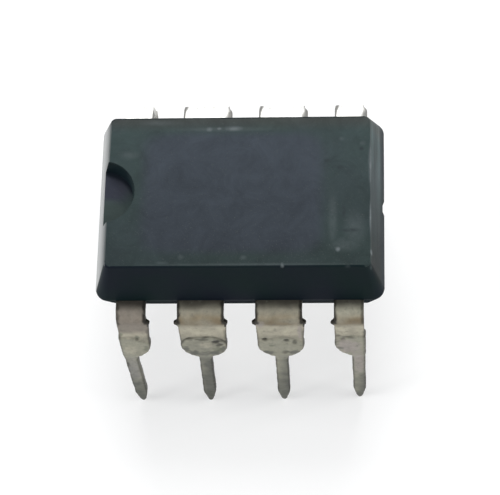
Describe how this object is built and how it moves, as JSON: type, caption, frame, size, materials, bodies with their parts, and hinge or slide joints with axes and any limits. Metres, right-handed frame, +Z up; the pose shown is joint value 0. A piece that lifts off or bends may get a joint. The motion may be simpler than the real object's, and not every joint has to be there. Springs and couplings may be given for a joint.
{
  "type": "dip integrated circuit chip",
  "caption": "Moulded dual in-line chip package with a half-round index notch and two rows of formed through-hole leads, lightly splayed.",
  "frame": {"origin": "on the plane of the lead tips, under the middle of the moulded body", "axes": "+X along the body, away from the index notch; +Y across the body towards the back row of leads; +Z up, out of the top face"},
  "size_m": [0.0094, 0.0094, 0.0073],
  "materials": {
    "moulding_compound": "fine matte moulding texture, lightly scuffed",
    "tinned_lead": "dull tin plating with blotchy solder residue",
    "bare_copper": "bare rolled copper alloy, silver-plated on the pad",
    "silver_epoxy": "matt silver-filled adhesive",
    "silicon": "polished, passivated",
    "gold_wire": "drawn, bright"
  },
  "bodies": {
    "root": {"package_body": "moulding_compound", "lead_1": "tinned_lead", "lead_2": "tinned_lead", "lead_3": "tinned_lead", "lead_4": "tinned_lead", "lead_5": "tinned_lead", "lead_6": "tinned_lead", "lead_7": "tinned_lead", "lead_8": "tinned_lead", "die_pad": "bare_copper", "die_attach": "silver_epoxy", "die": "silicon", "bond_wire_1": "gold_wire", "bond_wire_2": "gold_wire", "bond_wire_3": "gold_wire", "bond_wire_4": "gold_wire", "bond_wire_5": "gold_wire", "bond_wire_6": "gold_wire", "bond_wire_7": "gold_wire", "bond_wire_8": "gold_wire"}
  },
  "joints": []
}
